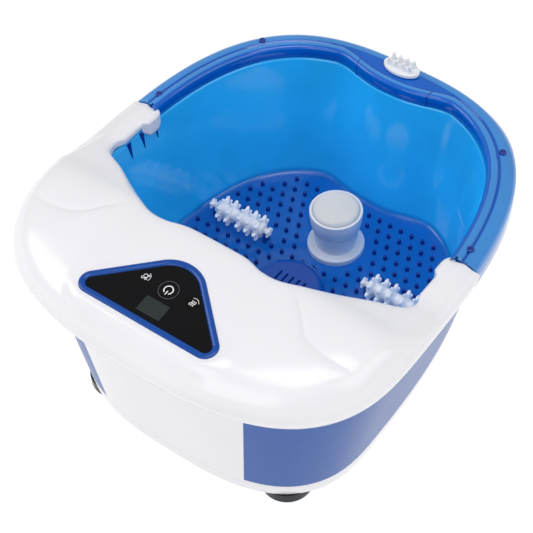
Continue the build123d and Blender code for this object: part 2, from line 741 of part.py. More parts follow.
for side, word in ((-1, "left"), (1, "right")):
    across = Plane(origin=(side * roller_x, roller_y, roller_axis_z), x_dir=(0, 1, 0), z_dir=(1, 0, 0))
    with BuildPart() as roller:
        with BuildSketch(across.offset(-roller_length / 2)):
            Circle(roller_hub_radius)
        extrude(amount=roller_length)
        for place in disc_offsets:
            with BuildSketch(across.offset(side * place - disc_thickness / 2)):
                Circle(disc_core_radius)
                with PolarLocations(roller_radius / 2 + 1, disc_points):
                    SlotOverall(roller_radius - 2, tooth_width)
            extrude(amount=disc_thickness)
        with BuildSketch(across.offset(-roller_length / 2)):
            Circle(axle_radius + axle_running_clearance)
        extrude(amount=roller_length, mode=Mode.SUBTRACT)
    roller.part.label = "roller_" + word
    export_step(roller.part, "parts/roller_" + word + ".step")

    axle_half = roller_length / 2 + clearance + cap_length - cap_wall
    with BuildPart() as axle:
        with BuildSketch(across.offset(-axle_half)):
            Circle(axle_radius)
        extrude(amount=2 * axle_half)
    axle.part.label = "roller_axle_" + word
    export_step(axle.part, "parts/roller_axle_" + word + ".step")

    with BuildPart() as caps:
        for end in (-1, 1):
            middle = end * (roller_length / 2 + clearance + cap_length / 2)
            with BuildSketch(across.offset(middle - cap_length / 2)):
                Circle(cap_radius)
                with Locations((0, (floor_z - roller_axis_z) / 2)):
                    Rectangle(cap_leg_width, roller_axis_z - floor_z)
            extrude(amount=cap_length)
        with BuildSketch(across.offset(-axle_half)):
            Circle(axle_radius + cap_grip)
        extrude(amount=2 * axle_half, mode=Mode.SUBTRACT)
    caps.part.label = "roller_caps_" + word
    export_step(caps.part, "parts/roller_caps_" + word + ".step")

# ---- control panel -----------------------------------------------------------------
fascia_top = -fascia_recess
fascia_bottom = fascia_top - fascia_thickness
board_level = -10.0
# name, place across and along the panel, and radius of each key
keys = [("power_button", 0.0, 4.5, 9.5), ("bubble_button", -25.0, 5.0, 5.5), ("heat_button", 25.0, 5.0, 5.5)]
key_travel = 1.0
key_flange = 1.2
key_gap = 0.3
display_y = -16.5
display_width, display_height = 24.0, 16.0
switch_height = 2.5
panel_posts = [(0.0, 30.5), (-60.0, -30.5), (60.0, -30.5)]
panel_post_radius, panel_hole_depth = 3.0, 7.0
panel_head_radius, panel_screw_length = 3.0, 7.0
key_stem_radius = 2.0
switch_side, switch_gap = 6.0, 0.1
board_edge_gap = 2.0
window_drop = 0.1
module_margin = 1.0
key_flange_thickness = 1.0

with BuildPart() as control_bezel:
    extrude(panel_shape(-bezel_depth, 0), amount=bezel_depth + bezel_rise)
    extrude(panel_shape(-bezel_depth, bezel_width + ledge_width), amount=panel_cut, mode=Mode.SUBTRACT)
    extrude(panel_shape(fascia_bottom, bezel_width), amount=panel_cut, mode=Mode.SUBTRACT)
    with BuildSketch(panel_plane.offset(board_level)):
        with Locations(*panel_posts):
            Circle(panel_post_radius)
    extrude(amount=-board_level - bezel_depth)
    with BuildSketch(panel_plane.offset(board_level)):
        with Locations(*panel_posts):
            Circle(pilot_radius)
    extrude(amount=panel_hole_depth, mode=Mode.SUBTRACT)
control_bezel.part.label = "control_bezel"
export_step(control_bezel.part, "parts/control_bezel.step")

with BuildPart() as control_fascia:
    extrude(panel_shape(fascia_bottom, bezel_width + panel_gap), amount=fascia_thickness)
    with BuildSketch(panel_plane.offset(fascia_bottom)):
        for name, x, y, radius in keys:
            with Locations((x, y)):
                Circle(radius + key_gap)
        with Locations((0, display_y)):
            Rectangle(display_width, display_height)
    extrude(amount=fascia_thickness, mode=Mode.SUBTRACT)
control_fascia.part.label = "control_fascia"
export_step(control_fascia.part, "parts/control_fascia.step")

with BuildPart() as display_window:
    with BuildSketch(panel_plane.offset(fascia_bottom)):
        with Locations((0, display_y)):
            Rectangle(display_width - panel_gap, display_height - panel_gap)
    extrude(amount=fascia_thickness - window_drop)
display_window.part.label = "display_window"
export_step(display_window.part, "parts/display_window.step")

with BuildPart() as display_module:
    with BuildSketch(panel_plane.offset(board_level)):
        with Locations((0, display_y)):
            Rectangle(display_width - 2 * module_margin, display_height - 2 * module_margin)
    extrude(amount=fascia_bottom - board_level)
display_module.part.label = "display_module"
export_step(display_module.part, "parts/display_module.step")

stem_end = board_level + switch_height + key_travel + switch_gap
for name, x, y, radius in keys:
    flange_top = fascia_bottom - key_gap
    with BuildPart() as key:
        with BuildSketch(panel_plane.offset(flange_top)):
            with Locations((x, y)):
                Circle(radius)
        extrude(amount=fascia_top - flange_top)
        with BuildSketch(panel_plane.offset(flange_top)):
            with Locations((x, y)):
                Circle(radius + key_flange)
        extrude(amount=-key_flange_thickness)
        with BuildSketch(panel_plane.offset(flange_top - key_flange_thickness)):
            with Locations((x, y)):
                Circle(key_stem_radius)
        extrude(amount=stem_end - flange_top + key_flange_thickness)
    key.part.label = name
    export_step(key.part, "parts/" + name + ".step")

with BuildPart() as tact_switches:
    with BuildSketch(panel_plane.offset(board_level)):
        for name, x, y, radius in keys:
            with Locations((x, y)):
                Rectangle(switch_side, switch_side)
    extrude(amount=switch_height)
tact_switches.part.label = "tact_switches"
export_step(tact_switches.part, "parts/tact_switches.step")

with BuildPart() as control_board:
    extrude(panel_shape(board_level - pcb_thickness, board_edge_gap), amount=pcb_thickness)
    with BuildSketch(panel_plane.offset(board_level - pcb_thickness)):
        with Locations(*panel_posts):
            Circle(screw_hole_radius)
    extrude(amount=pcb_thickness, mode=Mode.SUBTRACT)
control_board.part.label = "control_board"
export_step(control_board.part, "parts/control_board.step")

panel_screws = screws(panel_posts, board_level - pcb_thickness, panel_head_radius, head_height, panel_screw_length,
                      panel_plane)
panel_screws.label = "panel_screws"
export_step(panel_screws, "parts/panel_screws.step")

# ---- cord gland at the back --------------------------------------------------------
gland_wall_y = widest_y + base_back_reach + (gland_z - base_z) * shell_back_lean
gland_bore = 3.6
gland_flange = 3.0
gland_flange_thickness = 2.2
gland_flange_gap = 2.4
gland_sleeve_length = 9.4
gland_end_y = gland_wall_y + gland_flange_gap + gland_flange_thickness
with BuildPart() as cord_gland:
    with BuildSketch(Plane.XZ.offset(-gland_end_y)):
        with Locations((0, gland_z)):
            Circle(gland_radius + gland_flange)
    extrude(amount=gland_flange_thickness)
    with BuildSketch(Plane.XZ.offset(-gland_end_y + gland_flange_thickness)):
        with Locations((0, gland_z)):
            Circle(gland_radius - pilot_slack)
    extrude(amount=gland_sleeve_length)
    with BuildSketch(Plane.XZ.offset(-gland_end_y)):
        with Locations((0, gland_z)):
            Circle(gland_bore)
    extrude(amount=gland_flange_thickness + gland_sleeve_length, mode=Mode.SUBTRACT)
cord_gland.part.label = "cord_gland"
export_step(cord_gland.part, "parts/cord_gland.step")
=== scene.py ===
# Foot spa basin: clear blue tub, white cover and shell, rollers, pumice post.
import bmesh
import bpy
import json
import numpy as np
from math import cos, radians, sin
from mathutils import Matrix, Vector


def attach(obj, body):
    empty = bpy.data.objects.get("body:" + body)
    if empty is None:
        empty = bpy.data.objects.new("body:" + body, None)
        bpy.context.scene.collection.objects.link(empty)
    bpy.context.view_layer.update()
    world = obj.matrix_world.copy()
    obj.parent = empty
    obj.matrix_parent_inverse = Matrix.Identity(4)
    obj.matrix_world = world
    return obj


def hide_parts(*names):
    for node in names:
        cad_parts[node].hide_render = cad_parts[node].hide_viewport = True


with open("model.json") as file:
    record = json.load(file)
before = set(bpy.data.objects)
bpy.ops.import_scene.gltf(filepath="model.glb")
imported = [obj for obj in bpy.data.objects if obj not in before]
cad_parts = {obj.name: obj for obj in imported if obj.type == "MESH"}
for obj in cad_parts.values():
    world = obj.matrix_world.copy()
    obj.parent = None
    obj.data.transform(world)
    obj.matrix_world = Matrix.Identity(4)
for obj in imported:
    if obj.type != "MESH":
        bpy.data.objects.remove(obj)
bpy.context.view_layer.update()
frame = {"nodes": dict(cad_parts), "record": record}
print("frame loaded")


# camera, floor and light
viewFrom = dict(azimuth=37.504, elevation=50.09, roll=-2.244, distance=1.40247,
                target=(0.0, -0.004, 0.100), lens=101.3, shiftX=-0.0229, shiftY=0.0087)


def makeCamera(v):
    # placed back from its target along the view by the distance, then turned about the view by the roll
    a, e, r = (radians(v[k]) for k in ("azimuth", "elevation", "roll"))
    back = Vector((sin(a) * cos(e), -cos(a) * cos(e), sin(e)))
    right = Vector((cos(a), sin(a), 0))
    up = back.cross(right)
    right, up = right * cos(r) + up * sin(r), up * cos(r) - right * sin(r)
    data = bpy.data.cameras.new("camera")
    data.lens = v["lens"]
    data.sensor_width = 36
    data.shift_x = v["shiftX"]
    data.shift_y = v["shiftY"]
    camera = bpy.data.objects.new("camera", data)
    place = Matrix((right, up, back)).transposed().to_4x4()
    place.translation = Vector(v["target"]) + back * v["distance"]
    camera.matrix_world = place
    bpy.context.collection.objects.link(camera)
    bpy.context.scene.camera = camera


studio = dict(floorSize=60.0, floorGlow=1.03, floorShade=0.02, worldStrength=0.50, lampAim=(0, 0, 0.1),
              lamps=[("keyLamp", (-1.5, -0.7, 1.5), 1.2, 12), ("fillLamp", (1.7, 0.2, 1.3), 1.4, 9),
                     ("frontLamp", (0.2, -1.8, 1.2), 1.4, 8), ("topLamp", (0.25, -0.1, 2.1), 1.0, 9)])


def makeStudio(s):
    # a square floor of glowing white paper, an even white world, and square lamps that face the basin
    half = s["floorSize"] / 2
    corners = [(-half, -half, 0), (half, -half, 0), (half, half, 0), (-half, half, 0)]
    mesh = bpy.data.meshes.new("floor")
    mesh.from_pydata(corners, [], [(0, 1, 2, 3)])
    floor = bpy.data.objects.new("floor", mesh)
    bpy.context.collection.objects.link(floor)
    mat = bpy.data.materials.new("floorPaper")
    mat.use_nodes = True
    shader = mat.node_tree.nodes["Principled BSDF"]
    shader.inputs["Base Color"].default_value = (s["floorShade"],) * 3 + (1,)
    shader.inputs["Roughness"].default_value = 1.0
    shader.inputs["Specular IOR Level"].default_value = 0
    shader.inputs["Emission Color"].default_value = (1, 1, 1, 1)
    shader.inputs["Emission Strength"].default_value = s["floorGlow"]
    mesh.materials.append(mat)
    world = bpy.data.worlds.new("world")
    world.use_nodes = True
    sky = world.node_tree.nodes["Background"]
    sky.inputs["Color"].default_value = (1, 1, 1, 1)
    sky.inputs["Strength"].default_value = s["worldStrength"]
    bpy.context.scene.world = world
    for name, place, size, power in s["lamps"]:
        light = bpy.data.lights.new(name, "AREA")
        light.size = size
        light.energy = power
        lamp = bpy.data.objects.new(name, light)
        lamp.location = place
        aim = Vector(s["lampAim"]) - Vector(place)
        lamp.rotation_euler = aim.to_track_quat("-Z", "Y").to_euler()
        bpy.context.collection.objects.link(lamp)


makeCamera(viewFrom)
makeStudio(studio)
bpy.context.scene.view_settings.view_transform = "Standard"
print("camera and studio ready")


# finishes
def finish(name, colour, roughness, grain=400.0, bump=0.02, spread=0.04, colourSpread=0.03, **sockets):
    # moulded surface: fine noise in roughness, colour and bump over one base colour
    mat = bpy.data.materials.new(name)
    mat.use_nodes = True
    nodes, links = mat.node_tree.nodes, mat.node_tree.links
    shader = nodes["Principled BSDF"]
    for socket, value in sockets.items():
        shader.inputs[socket.replace("_", " ")].default_value = value
    where = nodes.new("ShaderNodeTexCoord")
    fine = nodes.new("ShaderNodeTexNoise")
    fine.inputs["Scale"].default_value = grain
    fine.inputs["Detail"].default_value = 4
    broad = nodes.new("ShaderNodeTexNoise")
    broad.inputs["Scale"].default_value = 14
    links.new(where.outputs["Object"], fine.inputs["Vector"])
    links.new(where.outputs["Object"], broad.inputs["Vector"])
    gloss = nodes.new("ShaderNodeMapRange")
    gloss.inputs["To Min"].default_value = max(roughness - spread, 0.01)
    gloss.inputs["To Max"].default_value = roughness + spread
    links.new(broad.outputs["Fac"], gloss.inputs["Value"])
    links.new(gloss.outputs["Result"], shader.inputs["Roughness"])
    tint = nodes.new("ShaderNodeMix")
    tint.data_type = "RGBA"
    tint.inputs[6].default_value = tuple(min(c * (1 - colourSpread), 1) for c in colour) + (1,)
    tint.inputs[7].default_value = tuple(min(c * (1 + colourSpread), 1) for c in colour) + (1,)
    links.new(broad.outputs["Fac"], tint.inputs[0])
    links.new(tint.outputs[2], shader.inputs["Base Color"])
    relief = nodes.new("ShaderNodeBump")
    relief.inputs["Strength"].default_value = bump
    relief.inputs["Distance"].default_value = 0.0004
    links.new(fine.outputs["Fac"], relief.inputs["Height"])
    links.new(relief.outputs["Normal"], shader.inputs["Normal"])
    return mat


finishes = {
    "coverWhite": finish("coverWhite", (0.80, 0.80, 0.84), 0.22, Coat_Weight=0.25, Coat_Roughness=0.08),
    "shellWhite": finish("shellWhite", (0.80, 0.80, 0.84), 0.26, Coat_Weight=0.2, Coat_Roughness=0.1),
    "panelBlue": finish("panelBlue", (0.014, 0.090, 0.36), 0.28, Specular_IOR_Level=0.28),
    "bezelBlue": finish("bezelBlue", (0.002, 0.060, 0.32), 0.12, Specular_IOR_Level=0.4),
    "fasciaBlack": finish("fasciaBlack", (0.003, 0.003, 0.004), 0.10, bump=0.005, Specular_IOR_Level=0.18),
    "displayGlass": finish("displayGlass", (0.026, 0.032, 0.034), 0.20, bump=0.005, Specular_IOR_Level=0.2),
    # the rollers' white carries a faint bluish painted glow
    "rollerPaintedGlowWhite": finish("rollerPaintedGlowWhite", (0.90, 0.90, 0.92), 0.28, Emission_Color=(0.9, 0.93, 1.0, 1),
                          Emission_Strength=0.08),
    # a grey used only for the ring of painted highlight round the power key
    "ringHighlightGrey": finish("ringHighlightGrey", (0.16, 0.16, 0.17), 0.4, bump=0.0),
    "slotShade": finish("slotShade", (0.30, 0.34, 0.42), 0.5),
    "fittingWhite": finish("fittingWhite", (0.80, 0.82, 0.86), 0.30),
    "pumice": finish("pumice", (0.74, 0.725, 0.70), 0.85, grain=900, bump=0.6, spread=0.08, colourSpread=0.12),
    "footRubber": finish("footRubber", (0.010, 0.014, 0.018), 0.25, Specular_IOR_Level=0.22),
    "sealRubber": finish("sealRubber", (0.03, 0.03, 0.035), 0.6, bump=0.1),
    "darkPlastic": finish("darkPlastic", (0.02, 0.02, 0.022), 0.45, bump=0.2),
    "boardGreen": finish("boardGreen", (0.01, 0.09, 0.03), 0.35, bump=0.1),
    "heaterMetal": finish("heaterMetal", (0.72, 0.72, 0.72), 0.35, Metallic=1.0),
    "screwSteel": finish("screwSteel", (0.6, 0.6, 0.62), 0.3, Metallic=1.0),
    # a white for the printed signs and for the painted highlight arcs on two keys' edges
    "iconAndHighlightWhite": finish("iconAndHighlightWhite", (0.9, 0.9, 0.9), 0.4, bump=0.0),
}


cloudiness = dict(scale=9, detail=3, noiseLow=0.3, noiseHigh=0.7, darkest=0.86, lightest=1.12)


def clearBlue(name, low, high, lowZ, highZ, roughness, glow):
    # tinted plastic with painted shade: darker from highZ down to lowZ, clouded by noise, and a painted glow in
    # its own colour
    mat = finish(name, low, roughness, bump=0.01, IOR=1.49, Coat_Weight=0.3, Coat_Roughness=0.03,
                 Emission_Strength=glow)
    nodes, links = mat.node_tree.nodes, mat.node_tree.links
    shader = nodes["Principled BSDF"]
    where = next(n for n in nodes if n.type == "TEX_COORD")
    split = nodes.new("ShaderNodeSeparateXYZ")
    links.new(where.outputs["Object"], split.inputs[0])
    # painted shade: the colour darkens from highZ down to lowZ
    rise = nodes.new("ShaderNodeMapRange")
    rise.interpolation_type = "SMOOTHSTEP"
    rise.inputs["From Min"].default_value = lowZ
    rise.inputs["From Max"].default_value = highZ
    links.new(split.outputs["Z"], rise.inputs["Value"])
    tint = nodes.new("ShaderNodeMix")
    tint.data_type = "RGBA"
    tint.inputs[6].default_value = low + (1,)
    tint.inputs[7].default_value = high + (1,)
    links.new(rise.outputs["Result"], tint.inputs[0])
    cloud = nodes.new("ShaderNodeTexNoise")
    cloud.inputs["Scale"].default_value = cloudiness["scale"]
    cloud.inputs["Detail"].default_value = cloudiness["detail"]
    links.new(where.outputs["Object"], cloud.inputs["Vector"])
    level = nodes.new("ShaderNodeMapRange")
    level.inputs["From Min"].default_value = cloudiness["noiseLow"]
    level.inputs["From Max"].default_value = cloudiness["noiseHigh"]
    level.inputs["To Min"].default_value = cloudiness["darkest"]
    level.inputs["To Max"].default_value = cloudiness["lightest"]
    links.new(cloud.outputs["Fac"], level.inputs["Value"])
    shade = nodes.new("ShaderNodeVectorMath")
    shade.operation = "SCALE"
    links.new(tint.outputs[2], shade.inputs[0])
    links.new(level.outputs["Result"], shade.inputs["Scale"])
    links.new(shade.outputs["Vector"], shader.inputs["Base Color"])
    # painted glow: the plastic's colour also lights itself
    links.new(shade.outputs["Vector"], shader.inputs["Emission Color"])
    return mat


# name, low colour (painted shade lower down), high colour, lowZ, highZ, roughness, painted glow
for blue in [("wellBlue", (0.0, 0.078, 0.36), (0.012, 0.295, 0.66), 0.047, 0.056, 0.12, 0.30),
             # the rim's two blues are one plastic: a darker copy as painted shade and a lighter copy as painted
             # highlight
             ("rimPaintedShadeBlue", (0.0, 0.050, 0.38), (0.0, 0.10, 0.48), 0.180, 0.1985, 0.07, 0.10),
             ("rimPaintedHighlightBlue", (0.010, 0.13, 0.48), (0.035, 0.22, 0.58), 0.172, 0.198, 0.08, 0.12),
             ("nubBlue", (0.0, 0.014, 0.20), (0.0, 0.020, 0.24), 0.047, 0.054, 0.2, 0.05),
             ("domeBlue", (0.0, 0.045, 0.28), (0.0, 0.055, 0.32), 0.05, 0.07, 0.18, 0.15)]:
    finishes[blue[0]] = clearBlue(*blue)

slotFinish = {"tub_blue": "domeBlue", "cover_white": "coverWhite", "shell_white": "shellWhite",
              "panel_blue": "panelBlue", "bezel_blue": "bezelBlue", "fascia_black": "fasciaBlack",
              "display_glass": "displayGlass", "fitting_white": "fittingWhite", "pumice": "pumice",
              "foot_rubber": "footRubber",
              "seal_rubber": "sealRubber", "dark_plastic": "darkPlastic", "board_green": "boardGreen",
              "heater_metal": "heaterMetal", "screw_steel": "screwSteel"}
for entry in frame["record"]["subparts"]:
    node = frame["nodes"][entry["node"]]
    node.data.materials.clear()
    node.data.materials.append(finishes[slotFinish[entry["material_slot"]]])
print("finishes ready")


# surfaces
def cellQuads(index):
    # the four corners of each cell of a grid of vertex numbers
    corners = [index[:-1, :-1], index[:-1, 1:], index[1:, 1:], index[1:, :-1]]
    return np.stack(corners, axis=-1).reshape(-1, 4)


def circleTurns(count):
    return np.linspace(0, 2 * np.pi, count, endpoint=False)


def gridPiece(name, points, finishName, body, closeU=False, thickness=0.0, flip=False):
    # mesh from a grid of points (rows, columns, 3), joined row to row and column to column
    rows, cols = points.shape[:2]
    index = np.arange(rows * cols).reshape(rows, cols)
    if closeU:
        index = np.hstack([index, index[:, :1]])
    quads = cellQuads(index)
    if flip:
        quads = quads[:, ::-1]
    mesh = bpy.data.meshes.new(name)
    mesh.from_pydata(points.reshape(-1, 3).tolist(), [], quads.tolist())
    mesh.polygons.foreach_set("use_smooth", np.ones(len(quads), bool))
    mesh.materials.append(finishes[finishName])
    piece = bpy.data.objects.new(name, mesh)
    bpy.context.collection.objects.link(piece)
    if thickness:
        wall = piece.modifiers.new("wall", "SOLIDIFY")
        wall.thickness = thickness
        wall.offset = -1
    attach(piece, body)
    return piece


outline = dict(widestY=-0.064, sidePower=2.8, frontPower=2.8, backPower=3.2, waistHalf=0.068)


def ovalPoint(turn, halfWidth, front, back, waist=0.0):
    # squarish oval: x = a sin^(2/p), y = -b cos^(2/q), with a smooth pinch at the back middle
    o = outline
    s, c = np.sin(turn), np.cos(turn)
    behind = c < 0
    reach = np.where(behind, back, front)
    power = np.where(behind, o["backPower"], o["frontPower"])
    x = halfWidth * np.sign(s) * np.abs(s) ** (2 / o["sidePower"])
    y = o["widestY"] - reach * np.sign(c) * np.abs(c) ** (2 / power)
    near = np.clip(1 - (np.abs(x) / o["waistHalf"]) ** 2.5, 0, 1) ** 2
    return x, y - np.where(behind, waist * near, 0)


tubSizes = dict(lipHalf=0.1635, lipFront=0.076, lipBack=0.257, floorHalf=0.1475, floorFront=0.068,
                floorBack=0.236, waist=0.016, floorZ=0.048, lipZ=0.185, frontZ=0.188, armY=0.031,
                lipLift=0.0006, step=0.0012, stepDrop=0.0022, fillet=0.005, wall=0.0022, middleY=0.02)


def easeIn(x):
    # smooth step from 0 to 1
    x = np.clip(x, 0, 1)
    return x * x * (3 - 2 * x)


def evenTurns(count, start=0.0, end=2 * np.pi, endpoint=False):
    # turns spaced evenly along the oval itself
    fine = np.linspace(start, end, 6000)
    x, y = ovalPoint(fine, 1.0, 0.6, 1.4)
    run = np.concatenate([[0], np.cumsum(np.hypot(np.diff(x), np.diff(y)))])
    return np.interp(np.linspace(0, run[-1], count, endpoint=endpoint), run, fine)


def ringRow(turns, halfWidth, front, back, waist, z):
    # one oval at a height
    x, y = ovalPoint(turns, halfWidth, front, back, waist)
    return np.stack([x, y, np.broadcast_to(z, x.shape)], axis=-1)


def flatten(faces):
    # end faces are shaded flat, with crisp edges round them
    for face in faces:
        face.smooth = False
        for edge in face.edges:
            edge.smooth = False


def closeEnd(piece):
    # caps the open ends of a tube-like mesh and turns its faces outwards
    mesh = bmesh.new()
    mesh.from_mesh(piece.data)
    bmesh.ops.remove_doubles(mesh, verts=mesh.verts, dist=1e-6)
    caps = bmesh.ops.holes_fill(mesh, edges=[e for e in mesh.edges if e.is_boundary], sides=0)["faces"]
    flatten(caps)
    bmesh.ops.recalc_face_normals(mesh, faces=mesh.faces)
    mesh.to_mesh(piece.data)
    mesh.free()


def makeWell(t):
    # rows of ovals: down the lip, over a small step, down the leaning wall,
    # round the floor edge, in to the middle
    turns = evenTurns(420)
    x, y = ovalPoint(turns, t["lipHalf"], t["lipFront"], t["lipBack"], t["waist"])
    lipTop = np.where(y > t["armY"], t["lipZ"] + t["lipLift"], t["frontZ"])
    rows = []
    for share in np.linspace(0, 1, 6):
        z = lipTop + (t["lipZ"] - lipTop) * share
        rows.append(ringRow(turns, t["lipHalf"], t["lipFront"], t["lipBack"], t["waist"], z))
    step, fillet, stepFoot = t["step"], t["fillet"], t["lipZ"] - t["stepDrop"]
    for inset, z in [(0.2, -0.0003), (0.8, -0.0009), (1.0, -t["stepDrop"])]:
        rows.append(ringRow(turns, t["lipHalf"] - step * inset, t["lipFront"] - step * inset,
                            t["lipBack"] - step * inset, t["waist"], t["lipZ"] + z))
    for share in np.linspace(0.03, 1, 26):
        z = stepFoot + (t["floorZ"] + fillet - stepFoot) * share
        half, front, back = ((t["lip" + k] - step) * (1 - share) + t["floor" + k] * share
                             for k in ("Half", "Front", "Back"))
        rows.append(ringRow(turns, half, front, back, t["waist"], z))
    for angle in np.linspace(15, 90, 6):
        inset = fillet * (1 - cos(radians(angle)))
        z = t["floorZ"] + fillet * (1 - sin(radians(angle)))
        rows.append(ringRow(turns, t["floorHalf"] - inset, t["floorFront"] - inset,
                            t["floorBack"] - inset, t["waist"], z))
    edge = rows[-1]
    middle = np.array([0, t["middleY"], t["floorZ"]])
    for share in np.linspace(0.93, 0.02, 16):
        rows.append(middle + (edge - middle) * share)
    piece = gridPiece("tubWell", np.stack(rows), "wellBlue", "housing", closeU=True)
    closeFloor(piece, len(turns))
    wall = piece.modifiers.new("wall", "SOLIDIFY")
    wall.thickness = t["wall"]
    wall.offset = -1
    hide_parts("tub")


def closeFloor(piece, count):
    # one many-sided face over the last ring of a closed grid, with the floor turned upwards
    mesh = bmesh.new()
    mesh.from_mesh(piece.data)
    mesh.verts.ensure_lookup_table()
    total = len(mesh.verts)
    face = mesh.faces.new([mesh.verts[i] for i in range(total - count, total)])
    face.smooth = True
    bmesh.ops.recalc_face_normals(mesh, faces=mesh.faces)
    if face.normal.z < 0:
        bmesh.ops.reverse_faces(mesh, faces=mesh.faces)
    mesh.to_mesh(piece.data)
    mesh.free()


# distance in from the outer edge, height, and how far the point follows the pinch at the back
rimProfile = [(0.0, 0.1722, 0), (0.0, 0.180, 0), (0.0, 0.188, 0), (0.0006, 0.1915, 0), (0.0022, 0.1942, 0),
              (0.0045, 0.1957, 0), (0.008, 0.1968, 0), (0.0125, 0.1974, 0), (0.0133, 0.1972, 0.9),
              (0.0140, 0.1962, 0.95), (0.0147, 0.1962, 1), (0.0153, 0.1975, 1), (0.0165, 0.1986, 1),
              (0.0185, 0.1990, 1), (0.0210, 0.1990, 1), (0.0232, 0.1985, 1), (0.0245, 0.1972, 1),
              (0.0250, 0.1955, 1), (0.0250, 0.190, 1), (0.0250, 0.1850, 1), (0.0226, 0.1850, 1),
              (0.0226, 0.190, 1), (0.0215, 0.1955, 1), (0.0160, 0.1958, 1), (0.0125, 0.1945, 0.9),
              (0.0060, 0.1935, 0), (0.0030, 0.1905, 0), (0.0024, 0.185, 0), (0.0024, 0.1722, 0)]
rimSizes = dict(half=0.1885, front=0.152, back=0.280, startY=0.0300, waist=0.016, insetBack=0.92,
                cornerGrow=0.0011, cornerX=0.128, cornerWidth=0.036, endThickness=0.0020, topCount=20)


def rimPoint(turns, inset, follow, r):
    # the rim's oval, moved in by the inset and pinched at the back by its share of the waist
    return ovalPoint(turns, r["half"] - inset, r["front"], r["back"] - inset * r["insetBack"],
                     r["waist"] * follow)


def makeRim(r):
    # closed channel profile carried round the back from one cover arm to the other
    turns = evenTurns(2000)
    x, y = rimPoint(turns, 0.0, 0, r)
    kept = turns[y > r["startY"]]
    turns = np.interp(np.linspace(0, 1, 260), np.linspace(0, 1, len(kept)), kept)
    columns = []
    for inset, z, follow in rimProfile:
        px, py = rimPoint(turns, inset, follow, r)
        if z < 0.193 and inset < 0.003:
            # the outer wall swells at the rear corners
            corner = np.exp(-((np.abs(px) - r["cornerX"]) / r["cornerWidth"]) ** 2) * easeIn((py - 0.06) / 0.08)
            px, py = px + np.sign(px) * r["cornerGrow"] * corner, py + r["cornerGrow"] * corner
        columns.append(np.stack([px, py, np.full_like(px, z)], axis=-1))
    points = np.stack(columns, axis=1)
    points[0, :, 1] = r["startY"]
    points[-1, :, 1] = r["startY"]
    piece = gridPiece("tubRim", points, "rimPaintedShadeBlue", "housing", closeU=True)
    # painted highlight: the outer slope and the first part of the ridge take a lighter copy of the same blue,
    # and the rest keeps the darker copy as painted shade
    piece.data.materials.append(finishes["rimPaintedHighlightBlue"])
    column = np.arange(len(piece.data.polygons)) % len(rimProfile)
    paintedHighlight = (column < 7) | ((column > 10) & (column < 14))
    piece.data.polygons.foreach_set("material_index", paintedHighlight.astype(int))
    closeEnd(piece)
    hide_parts("tub")
    # a solid end wall fills the channel's section at each arm
    for index, side in enumerate((0, -1)):
        face = points[side, :r["topCount"]]
        low = np.array([[face[-1][0], face[-1][1], face[0][2] + 0.004]])
        section = np.vstack([face + (0, 0.0002, 0), low + (0, 0.0002, 0)])
        inner = section * (0.999, 1, 1) - (0, 0, 0.0003)
        wall = gridPiece("rimEnd%d" % index, np.stack([inner, inner + (0, r["endThickness"], 0)]),
                         "nubBlue", "housing", closeU=True)
        closeEnd(wall)


def onOval(x, y, halfWidth, front, back):
    # below 1 inside the squarish oval
    o = outline
    behind = y > o["widestY"]
    reach = np.where(behind, back, front)
    power = np.where(behind, o["backPower"], o["frontPower"])
    return (np.abs(x) / halfWidth) ** o["sidePower"] + (np.abs(y - o["widestY"]) / reach) ** power


nubLayout = dict(pitch=0.0127, edge=0.010, firstRow=0.006, radius=0.0021, height=0.0048, sides=12,
                 pinchWidth=0.06, postY=0.091, postClear=0.034, domeY=0.008, domeClear=0.041,
                 rollerX=0.091, rollerY=0.056, rollerHalf=0.040, rollerDeep=0.015,
                 profile=[(1.12, -0.05), (1.0, 0.25), (0.92, 0.7), (0.74, 0.9), (0.42, 1.0)])


def makeNubs(n, t):
    # staggered rows of small round studs: each a few rings that narrow to a domed top
    rows = np.arange(0, 26)
    cols = np.arange(-13, 14)
    r, c = np.meshgrid(rows, cols, indexing="ij")
    y = outline["widestY"] - t["floorFront"] + n["firstRow"] + r * n["pitch"]
    x = (c + 0.5 * (r % 2)) * n["pitch"]
    keep = onOval(x, y, t["floorHalf"] - n["edge"], t["floorFront"] - n["edge"],
                  t["floorBack"] - t["waist"] * np.exp(-(x / n["pinchWidth"]) ** 2) - n["edge"]) < 1
    keep &= np.hypot(x, y - n["postY"]) > n["postClear"]
    keep &= np.hypot(x, y - n["domeY"]) > n["domeClear"]
    keep &= (np.abs(np.abs(x) - n["rollerX"]) > n["rollerHalf"]) | (np.abs(y - n["rollerY"]) > n["rollerDeep"])
    x, y = x[keep], y[keep]
    sides = n["sides"]
    spin = circleTurns(sides)
    ring = np.stack([np.cos(spin), np.sin(spin)], axis=-1)
    one = np.concatenate([np.hstack([ring * k * n["radius"], np.full((sides, 1), h * n["height"])])
                          for k, h in n["profile"]])
    index = np.arange(len(one)).reshape(len(n["profile"]), sides)
    quads = cellQuads(np.hstack([index, index[:, :1]]))
    spots = np.stack([x, y, np.full_like(x, t["floorZ"])], axis=-1)
    points = (spots[:, None, :] + one[None]).reshape(-1, 3)
    first = (np.arange(len(spots)) * len(one))[:, None]
    faces = (quads[None] + first[:, :, None]).reshape(-1, 4).tolist()
    caps = (index[-1][None] + first).tolist()
    feet = (index[0][::-1][None] + first).tolist()
    mesh = bpy.data.meshes.new("floorNubs")
    mesh.from_pydata(points.tolist(), [], faces + caps + feet)
    mesh.polygons.foreach_set("use_smooth", np.ones(len(mesh.polygons), bool))
    mesh.materials.append(finishes["nubBlue"])
    piece = bpy.data.objects.new("floorNubs", mesh)
    bpy.context.collection.objects.link(piece)
    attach(piece, "housing")
    print("nubs", len(spots))


makeWell(tubSizes)
makeRim(rimSizes)
makeNubs(nubLayout, tubSizes)
print("tub ready")


